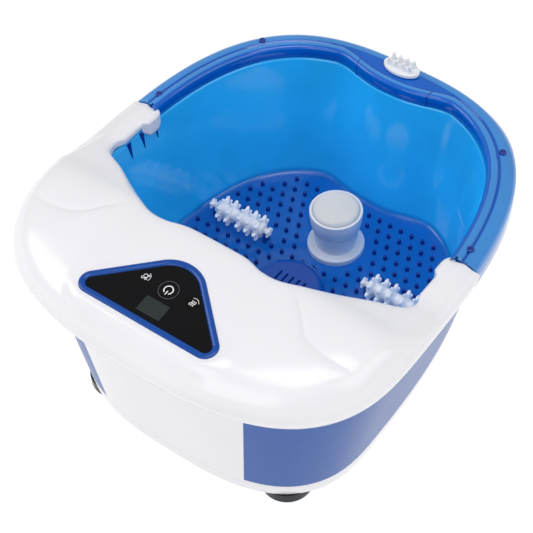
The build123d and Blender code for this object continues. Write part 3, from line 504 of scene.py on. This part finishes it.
# control panel
panel = dict(y=-0.158, z=0.2232, tilt=5.0, apex=(0.0, 0.0475), corner=(0.0887, -0.035), apexRadius=0.034,
             cornerRadius=0.0115, faceDrop=0.0005, signThickness=0.00008,
             keyPlaces={"power": (0.0, 0.0045), "bubble": (-0.025, 0.005), "heat": (0.025, 0.005)})


def panelPoint(u, v, lift):
    # a point given across and along the tilted panel plane, lifted off it
    t = radians(panel["tilt"])
    y, z = panel["y"] + v * cos(t) - lift * sin(t), panel["z"] + v * sin(t) + lift * cos(t)
    return np.stack([u, y, z], axis=-1)


def runAlong(line):
    # length run along a flat line up to each of its points
    return np.concatenate([[0], np.cumsum(np.hypot(*np.diff(line, axis=0).T))])


def evenLine(line, count, endpoint=True):
    # the same line with its points spaced evenly along it
    run = runAlong(line)
    at = np.linspace(0, run[-1], count, endpoint=endpoint)
    return np.stack([np.interp(at, run, line[:, 0]), np.interp(at, run, line[:, 1])], axis=-1)


def panelLoop(inset, count=240):
    # rounded triangle: an arc about each corner's centre, radius less the inset, resampled evenly
    (ax, ay), (cx, cy) = panel["apex"], panel["corner"]
    slope = np.arctan2(ay - cy, cx - ax)
    apexCentre = (0.0, ay - panel["apexRadius"] / cos(slope))
    r = panel["cornerRadius"]
    reach = r / np.tan((np.pi / 2 - (np.pi / 2 - slope)) / 2)
    cornerCentre = (cx - reach, cy + r)
    arcs = []
    for centre, radius, start, end in [(cornerCentre, r, -np.pi / 2, np.pi / 2 - slope),
                                       (apexCentre, panel["apexRadius"], np.pi / 2 - slope, np.pi / 2 + slope),
                                       ((-cornerCentre[0], cornerCentre[1]), r, np.pi / 2 + slope,
                                        3 * np.pi / 2)]:
        a = np.linspace(start, end, 60)
        ring = np.stack([np.cos(a), np.sin(a)], axis=-1)
        arcs.append(np.array(centre) + (radius - inset) * ring)
    return evenLine(np.vstack(arcs + [arcs[0][:1]]), count, endpoint=False)


# inset and lift
bezelProfile = [(0.0, -0.0045), (0.0, -0.0008), (0.0003, 0.0001), (0.0010, 0.0006), (0.0020, 0.0009),
                (0.0032, 0.0009), (0.0044, 0.0006), (0.0053, 0.0001), (0.0059, -0.0006), (0.0060, -0.0012),
                (0.0060, -0.0045)]


def makeBezel():
    # the profile, inset and lift, carried round the rounded triangle and closed underneath
    rows = [panelPoint(*panelLoop(inset).T, lift) for inset, lift in bezelProfile]
    points = np.stack(rows + rows[:1])
    piece = gridPiece("bezelRing", points, "bezelBlue", "housing", closeU=True, flip=True)
    closeEnd(piece)
    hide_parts("control_bezel")


def ribbon(line, width):
    # a flat strip of the given width along a line on the panel
    line = np.array(line, float)
    step = np.gradient(line, axis=0)
    side = np.stack([-step[:, 1], step[:, 0]], axis=-1) / np.hypot(*step.T)[:, None] * width / 2
    return np.stack([line - side, line + side], axis=0)


def arcLine(centre, radius, start, end, count=40):
    # points on a circle between two angles in degrees
    a = np.radians(np.linspace(start, end, count))
    return np.stack([centre[0] + radius * np.cos(a), centre[1] + radius * np.sin(a)], axis=-1)


def makeMark(name, strips, finishName, body):
    # strips joined into one thin closed mesh just above the panel face
    points, faces, total = [], [], 0
    for strip in strips:
        count = strip.shape[1]
        flat = strip.reshape(-1, 2)
        points.append(panelPoint(flat[:, 0], flat[:, 1], -panel["faceDrop"]))
        index = total + np.arange(2 * count).reshape(2, count)
        faces.append(cellQuads(index))
        total += 2 * count
    mesh = bpy.data.meshes.new(name)
    mesh.from_pydata(np.vstack(points).tolist(), [], np.vstack(faces).tolist())
    mesh.materials.append(finishes[finishName])
    piece = bpy.data.objects.new(name, mesh)
    bpy.context.collection.objects.link(piece)
    sheet = piece.modifiers.new("sheet", "SOLIDIFY")
    sheet.thickness = panel["signThickness"]
    sheet.offset = -1
    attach(piece, body)


# the ring and arc sizes here are for painted highlights on the keys' edges
signs = dict(powerRadius=0.0040, powerLine=0.0009, powerBar=(-0.0052, -0.003, -0.0010), highlightRingRadius=0.0088,
             highlightRingLine=0.00028, highlightArcRadius=0.0048, highlightArcWidth=0.0004, bubbleLine=0.0005,
             bubbles=[(0.0, 0.0008, 0.0018), (-0.0016, -0.0016, 0.0011), (0.0017, -0.0017, 0.0009),
                      (0.0024, 0.0019, 0.0007)],
             waveHalf=0.0026, waveSwing=0.0006, waveDrop=0.0004, waveGap=0.0017, waveLine=0.0006)


def makeIcons(g):
    # generic signs for power, bubbles and heat, their tops pointing away from the sitter; the grey ring round
    # the power key and the arc beside the bubble and heat keys are painted highlights on the keys' edges
    px, py = panel["keyPlaces"]["power"]
    ring = ribbon(arcLine((px, py), g["powerRadius"], -60, 240), g["powerLine"])
    bar = ribbon([(px, py + v) for v in g["powerBar"]], g["powerLine"])
    makeMark("powerSign", [ring, bar], "iconAndHighlightWhite", "power_key")
    # a thin grey ring round the key: painted highlight on its edge
    makeMark("powerRingHighlight", [ribbon(arcLine((px, py), g["highlightRingRadius"], 0, 360, 90), g["highlightRingLine"])],
             "ringHighlightGrey", "power_key")
    bx, by = panel["keyPlaces"]["bubble"]
    rings = [ribbon(arcLine((bx + dx, by + dy), r, 0, 360, 30), g["bubbleLine"]) for dx, dy, r in g["bubbles"]]
    # besides the printed bubbles, an arc of painted highlight on the key's edge
    makeMark("bubbleSignAndHighlight", rings + [ribbon(arcLine((bx, by), g["highlightArcRadius"], -30, 70), g["highlightArcWidth"])],
             "iconAndHighlightWhite", "bubble_key")
    hx, hy = panel["keyPlaces"]["heat"]
    along = np.linspace(-g["waveHalf"], g["waveHalf"], 30)
    swing = g["waveSwing"] * np.sin(along / g["waveHalf"] * np.pi)
    waves = [ribbon(np.stack([hx + shift + swing, hy - g["waveDrop"] + along], axis=-1), g["waveLine"])
             for shift in (-g["waveGap"], 0.0, g["waveGap"])]
    # besides the printed waves, an arc of painted highlight on the key's edge
    makeMark("heatSignAndHighlight", waves + [ribbon(arcLine((hx, hy), g["highlightArcRadius"], 20, 120), g["highlightArcWidth"])],
             "iconAndHighlightWhite", "heat_key")


makeBezel()
makeIcons(signs)
print("control panel ready")


# front cover
cover = dict(half=0.192, front=0.152, back=0.275, wall=0.0025, rearY=0.0297, columns=801, cornerAt=0.70,
             seatDrop=0.0006, pitDepth=0.0088, pitEdge=0.0040, edgeDrop=0.0030, skirtZ=0.1905, flapTop=0.1880,
             shoulderDrop=0.0075,
             levels=[(0.1575, 0.0150, 0.0240), (0.159, 0.0138, 0.0224), (0.165, 0.0092, 0.0150),
                     (0.172, 0.0045, 0.0076), (0.180, 0.0014, 0.0024), (0.188, 0.0001, 0.0002),
                     (0.190, 0.0, 0.0), (0.198, 0.0008, 0.0012), (0.205, 0.0036, 0.005),
                     (0.210, 0.0075, 0.0095)],
             roof=[(-0.240, 0.2140), (-0.2075, 0.2155), (-0.194, 0.2190), (-0.174, 0.2215),
                   (-0.154, 0.2238), (-0.120, 0.2258), (-0.092, 0.2240), (-0.069, 0.2130),
                   (-0.048, 0.2045), (-0.030, 0.1985), (0.0, 0.1970), (0.040, 0.1960)],
             edge=[(0.0, -0.086), (0.030, -0.087), (0.050, -0.093), (0.069, -0.0925), (0.089, -0.083),
                   (0.112, -0.069), (0.136, -0.054), (0.157, -0.044), (0.1645, -0.034)],
             armInner=0.1605, lobeInner=0.1560, lobeFrom=0.0045, lobeLow=0.1775,
             creaseDepth=0.0019, creaseLine=[(0.088, -0.098), (0.104, -0.112), (0.120, -0.128),
                                             (0.145, -0.134), (0.178, -0.131)])


def smoothLine(points, count):
    # points evenly along a Catmull-Rom curve through the given ones
    p = np.array(points, float)
    p = np.vstack([2 * p[0] - p[1], p, 2 * p[-1] - p[-2]])
    t = np.linspace(0, 1, 40, endpoint=False)[:, None]
    runs = [0.5 * (2 * b + (c - a) * t + (2 * a - 5 * b + 4 * c - d) * t ** 2
                   + (3 * b - a - 3 * c + d) * t ** 3)
            for a, b, c, d in zip(p[:-3], p[1:-2], p[2:-1], p[3:])]
    return evenLine(np.vstack(runs + [p[-2][None]]), count)


def roofHeight(x, y, c):
    # roof line along Y, lower towards the shoulders, with a wing crease each side
    line = smoothLine(c["roof"], 400)
    z = np.interp(y, line[:, 0], line[:, 1])
    side = np.abs(x)
    z = z - np.clip((-y - 0.04) / 0.05, 0, 1) * c["shoulderDrop"] * np.clip((side - 0.07) / 0.12, 0, 1) ** 1.6
    crease = smoothLine(c["creaseLine"], 200)
    over = y - np.interp(side, crease[:, 0], crease[:, 1])
    strength = easeIn((side - 0.085) / 0.020) * easeIn((0.184 - side) / 0.030)
    # behind the crease the surface dips and comes back over a broad run; in front it steps down gently
    dip = np.where(over > 0, np.exp(-over / 0.012), np.exp(over / 0.005))
    return z - strength * c["creaseDepth"] * dip


def insidePanel(x, y):
    # distance inside the rounded triangle of the panel, below 0 outside it
    u, v = np.ravel(x), np.ravel((y - panel["y"]) / cos(radians(panel["tilt"])))
    loop = panelLoop(0.0, 160)
    du, dv = u[:, None] - loop[None, :, 0], v[:, None] - loop[None, :, 1]
    ahead = np.roll(loop, -1, axis=0) - loop
    cross = ahead[None, :, 0] * dv - ahead[None, :, 1] * du
    return (np.hypot(du, dv).min(axis=1) * np.where(cross.min(axis=1) > 0, 1, -1)).reshape(np.shape(x))


def innerEdge(c):
    # the well edge from the left arm's end to the right one, with a rounded lobe near each arm's end
    half = smoothLine(c["edge"], 150)
    y = np.linspace(-0.020, c["rearY"], 90)
    rounding = np.sqrt(1 - 0.96 * np.clip(1 - (c["rearY"] - y) / 0.009, 0, 1) ** 2)
    bulge = easeIn((y - c["lobeFrom"]) / 0.007) * rounding
    arm = np.stack([c["armInner"] - (c["armInner"] - c["lobeInner"]) * bulge, y], axis=-1)
    corner = smoothLine([half[-6], (0.1640, -0.0300), arm[0], arm[5]], 16)
    right = np.vstack([half[:-6], corner, arm[6:]])
    return np.vstack([right[::-1] * (-1, 1), right[1:]]), len(half) - 6


def closeArms(piece, rows, cols):
    # one flat face over the open profile at each arm's end
    mesh = bmesh.new()
    mesh.from_mesh(piece.data)
    mesh.verts.ensure_lookup_table()
    flatten([mesh.faces.new([mesh.verts[row * cols + column] for row in range(rows)][::turn])
             for column, turn in ((0, 1), (cols - 1, -1))])
    mesh.to_mesh(piece.data)
    mesh.free()


def makeCover(c):
    # rows from the skirt's bottom edge up over the bulge, across the roof to the well edge,
    # and down a short skirt
    base = evenTurns(4000)
    x, y = ovalPoint(base, c["half"], c["front"], c["back"])
    signed = np.where(base > np.pi, base - 2 * np.pi, base)
    order = np.argsort(signed)
    kept = signed[order][y[order] < c["rearY"]]
    turns = np.interp(np.linspace(0, 1, c["columns"]), np.linspace(0, 1, len(kept)), kept)
    top = c["levels"][-1][0]
    rows = []
    for z, side, front in c["levels"]:
        px, py = ovalPoint(turns, c["half"] - side, c["front"] - front, c["back"] - side * 0.2)
        py = np.minimum(py, c["rearY"])
        ceiling = roofHeight(px, py, c) - 0.004
        pz = np.where(z > 0.19, 0.19 + (z - 0.19) / (top - 0.19) * np.minimum(ceiling - 0.19, top - 0.19), z)
        rows.append(np.stack([px, py, pz], axis=-1))
    whole, cornerIndex = innerEdge(c)
    innerRun = runAlong(whole)
    shoulder = rows[-1]
    outerRun = runAlong(shoulder[:, :2])
    middle = innerRun[-1] / 2
    cornerShare = (innerRun[len(whole) // 2 + cornerIndex] - middle) / middle
    share = outerRun / outerRun[-1] * 2 - 1
    inner = np.interp(np.abs(share), [0, c["cornerAt"], 1], [0, cornerShare, 1]) * np.sign(share)
    innerX = np.interp(middle + inner * middle, innerRun, whole[:, 0])
    innerY = np.interp(middle + inner * middle, innerRun, whole[:, 1])
    for s in np.linspace(0, 1, 90)[1:]:
        px = shoulder[:, 0] + (innerX - shoulder[:, 0]) * s
        py = shoulder[:, 1] + (innerY - shoulder[:, 1]) * s
        out = np.hypot(px - shoulder[:, 0], py - shoulder[:, 1])
        blend = np.exp(-(out / 0.009))
        pz = roofHeight(px, py, c) * (1 - blend) + shoulder[:, 2] * blend
        # the panel's seat sinks under the bezel, level with the panel's own plane round it
        inside = insidePanel(px, py)
        seat = panelPoint(px, py - panel["y"], 0.0)[:, 2] - c["seatDrop"]
        near = easeIn((inside + 0.016) / 0.014)
        pz = pz * (1 - near) + seat * near - c["pitDepth"] * easeIn((inside - 0.0012) / c["pitEdge"])
        away = np.hypot(px - innerX, py - innerY)
        pz = pz - c["edgeDrop"] * np.exp(-(away / 0.0022))
        rows.append(np.stack([px, py, pz], axis=-1))
    last = rows[-1]
    # the skirt turns down; near each arm's end it hangs lower, as a flap with rounded corners
    onFlap = last[:, 1] > c["lobeFrom"]
    along = np.clip((last[:, 1] - c["lobeFrom"]) / (c["rearY"] + 0.0015 - c["lobeFrom"]), 0, 1) * 2 - 1
    flap = np.where(onFlap, (1 - np.abs(along) ** 2.2) ** (1 / 2.2), 0)
    flapBottom = np.minimum(c["skirtZ"], c["flapTop"] - (c["flapTop"] - c["lobeLow"]) * flap)
    bottom = np.where(onFlap, flapBottom, c["skirtZ"])
    for share in (0.08, 0.22, 0.42, 0.62, 0.82, 1.0):
        lower = last.copy()
        lower[:, 2] = last[:, 2] - (last[:, 2] - np.minimum(bottom, last[:, 2])) * share
        rows.append(lower)
    piece = gridPiece("coverSkin", np.stack(rows), "coverWhite", "housing",
                      thickness=c["wall"])
    closeArms(piece, len(rows), len(turns))
    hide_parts("front_cover")


makeCover(cover)
print("cover ready")


# rollers, cup slots and rim details
roller = dict(x=0.091, y=0.056, z=0.0623, length=0.057, hub=0.0062, bore=0.0021,
              discs=(-0.024, -0.0135, -0.003, 0.011, 0.0215), half=0.0020, teeth=8, base=0.0106, tip=0.0141,
              toothWidth=0.13, turns=192,
              discProfile=[(-1.0, 0.0012, 0.25), (-0.75, 0.0002, 0.72), (-0.35, 0, 0.95), (0, 0, 1),
                           (0.35, 0, 0.95), (0.75, 0.0002, 0.72), (1.0, 0.0012, 0.25)])


def toothShare(spin, teeth, width):
    # 1 at the middle of each tooth, falling to 0 between the teeth
    phase = (spin * teeth / (2 * np.pi) + 0.5) % 1 - 0.5
    return np.exp(-(phase * 2 * np.pi / teeth / width) ** 4)


def axleRing(x, radii, spin):
    # a ring about the axle's line, one radius for each turn
    q = roller
    y, z = q["y"] + radii * np.cos(spin), q["z"] + radii * np.sin(spin)
    return np.stack([np.full_like(spin, x), y, z], axis=-1)


def makeRoller(word, side, body):
    # a lathe-like grid along the axle: hub, then each disc's rounded edge with teeth that swell outwards
    q = roller
    spin = circleTurns(q["turns"])
    tooth = toothShare(spin, q["teeth"], q["toothWidth"])
    half = q["length"] / 2
    stations = [(-half, q["bore"], 0), (-half, q["hub"] - 0.0006, 0), (-half + 0.0005, q["hub"], 0)]
    for place in sorted(side * d for d in q["discs"]):
        stations += [(place - q["half"] - 0.0002, q["hub"], 0)]
        stations += [(place + q["half"] * k, q["base"] - drop, grow) for k, drop, grow in q["discProfile"]]
        stations += [(place + q["half"] + 0.0002, q["hub"], 0)]
    stations += [(half - 0.0005, q["hub"], 0), (half, q["hub"] - 0.0006, 0), (half, q["bore"], 0)]
    rows = [axleRing(side * q["x"] + along, radius + (q["tip"] - q["base"]) * grow * tooth, spin)
            for along, radius, grow in stations]
    piece = gridPiece("rollerSpikes" + word, np.stack(rows + rows[:1]), "rollerPaintedGlowWhite", body,
                      closeU=True)
    closeEnd(piece)
    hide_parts("roller_" + word.lower())


rollerEnd = dict(neck=0.0030, knob=0.0042, tip=0.0062, teeth=5, toothWidth=0.30, turns=90, gap=0.0004,
                 neckLength=0.0042, knobHalf=0.0016, knobEdge=0.0004, legHalf=0.0016, legFoot=0.0475,
                 legLevels=[(0.004, 0.0032), (0.001, 0.0026)], legFootDeep=0.0046)


def makeRollerEnds(word, side):
    # each end: a neck, a small toothed knob, and a thin leg down to the floor
    q, e = roller, rollerEnd
    spin = circleTurns(e["turns"])
    tooth = toothShare(spin, e["teeth"], e["toothWidth"])
    start = q["length"] / 2 + e["gap"]
    knobStart = start + e["neckLength"]
    knobEnd = knobStart + 2 * e["knobHalf"]
    stations = [(start, 0.0, 0), (start, e["neck"], 0), (knobStart, e["neck"], 0),
                (knobStart + e["knobEdge"], e["knob"] * 0.9, 0.5), (knobStart + e["knobHalf"], e["knob"], 1),
                (knobEnd - e["knobEdge"], e["knob"] * 0.9, 0.5), (knobEnd, e["neck"], 0), (knobEnd, 0.0, 0)]
    levels = [(e["legFoot"], e["legFootDeep"])] + [(q["z"] - drop, wide) for drop, wide in e["legLevels"]]
    for index, end in enumerate((-1, 1)):
        rows = [axleRing(side * q["x"] + end * along, radius + (e["tip"] - e["knob"]) * grow * tooth, spin)
                for along, radius, grow in stations]
        piece = gridPiece("rollerEnd%s%d" % (word, index), np.stack(rows), "rollerPaintedGlowWhite", "housing",
                          closeU=True)
        closeEnd(piece)
        if index == 0:
            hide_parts("roller_caps_" + word.lower())
        middle = side * q["x"] + end * (start + e["neckLength"] / 2)
        leg = [[(middle + sx * e["legHalf"], q["y"] + sy * wide, z)
                for sx, sy in ((-1, -1), (1, -1), (1, 1), (-1, 1))] for z, wide in levels]
        closeEnd(gridPiece("rollerLeg%s%d" % (word, index), np.array(leg), "domeBlue", "housing",
                           closeU=True))


makeRoller("Left", -1, "left_roller")
makeRollerEnds("Left", -1)
makeRollerEnds("Right", 1)
makeRoller("Right", 1, "right_roller")


# start and end in degrees, height, radius; then the section's way out and lift
cupSlots = dict(y=0.091, arcs=[(-130, -62, 0.0800, 0.0238), (-50, 8, 0.0768, 0.0226)],
                section=[(0.0, -0.0004), (0.0007, -0.0003), (0.0008, 0.0003), (0.0001, 0.0004), (0.0, -0.0004)])


def makeCupSlots(k):
    # thin dark arcs round the cup above its foot
    for index, (start, end, z, r) in enumerate(k["arcs"]):
        a = np.radians(np.linspace(start, end, 40))
        rows = [np.stack([(r + out) * np.cos(a), k["y"] + (r + out) * np.sin(a), np.full_like(a, z + lift)],
                         axis=-1) for out, lift in k["section"]]
        piece = gridPiece("cupSlot%d" % index, np.stack(rows), "slotShade", "pumice_head")
        closeEnd(piece)


rimMarks = dict(bosses=[(-0.171, 0.044), (0.171, 0.044), (-0.135, 0.160), (0.135, 0.160)],
                bossRadius=0.0034, bossFoot=0.1955, bossTop=0.1993,
                bossProfile=[(1.1, 0), (1.0, 0.5), (0.95, 0.85), (0.8, 0.97), (0.4, 1.0), (0.1, 0.98)],
                cutX=0.041, cutHalf=0.0006,
                cutSection=[(-1, -0.0004), (-0.7, 0.00012), (0.7, 0.00012), (1, -0.0004)],
                finPlaces=(0.022, 0.004, -0.014), finTop=0.1848, finDrop=0.019, finHalf=0.0032,
                finSection=[(0.0005, -1), (-0.0008, -0.6), (-0.0010, 0), (-0.0008, 0.6), (0.0005, 1)])


def makeBosses(m):
    # small rounded dark studs under the clear rim
    for index, (x, y) in enumerate(m["bosses"]):
        a = circleTurns(36)
        rise = m["bossTop"] - m["bossFoot"]
        rows = [np.stack([x + m["bossRadius"] * k * np.cos(a), y + m["bossRadius"] * k * np.sin(a),
                          np.full_like(a, m["bossFoot"] + rise * h)], axis=-1)
                for k, h in m["bossProfile"]]
        piece = gridPiece("rimBoss%d" % index, np.stack(rows), "nubBlue", "housing", closeU=True)
        closeEnd(piece)


def makeCuts(m, r):
    # a narrow dark strip across the ridge and down the inner lip, each side of the pinch
    turns = np.linspace(np.pi * 0.6, np.pi, 4000)
    for index, side in enumerate((-1, 1)):
        rows = []
        for inset, z, follow in rimProfile[11:20]:
            x, y = rimPoint(turns, inset, follow, r)
            middle = m["cutX"] - (inset - 0.0153) * 0.15
            section = []
            for across, lift in m["cutSection"]:
                at = middle + across * m["cutHalf"]
                inward = lift * np.clip((0.1975 - z) / 0.002, 0, 1)
                section.append((side * at, np.interp(-at, -x, y) - inward, z + lift - inward))
            rows.append(section)
        piece = gridPiece("rimCut%d" % index, np.array(rows), "nubBlue", "housing", closeU=True)
        closeEnd(piece)


def makeFins(m, t):
    # tapering ribs below the lip on both side walls, each a thin triangle leaning with the wall
    o = outline
    for index, (side, y) in enumerate([(side, y) for side in (-1, 1) for y in m["finPlaces"]]):
        rows = []
        for share in np.linspace(0, 1, 8):
            z = m["finTop"] - m["finDrop"] * share
            down = (t["lipZ"] - z) / (t["lipZ"] - t["floorZ"])
            wide = m["finHalf"] * (1 - share) + 0.0001
            half = (t["lipHalf"] - t["step"]) * (1 - down) + t["floorHalf"] * down
            back = (t["lipBack"] - t["step"]) * (1 - down) + t["floorBack"] * down
            section = []
            for out, across in m["finSection"]:
                py = y + across * wide
                reach = np.clip((py - o["widestY"]) / back, 0, 1) ** o["backPower"]
                section.append((side * (half * (1 - reach) ** (1 / o["sidePower"]) + out), py, z))
            rows.append(section)
        piece = gridPiece("wallFin%d" % index, np.array(rows), "nubBlue", "housing", closeU=True)
        closeEnd(piece)


makeCupSlots(cupSlots)
makeBosses(rimMarks)
makeCuts(rimMarks, rimSizes)
makeFins(rimMarks, tubSizes)
print("details ready")
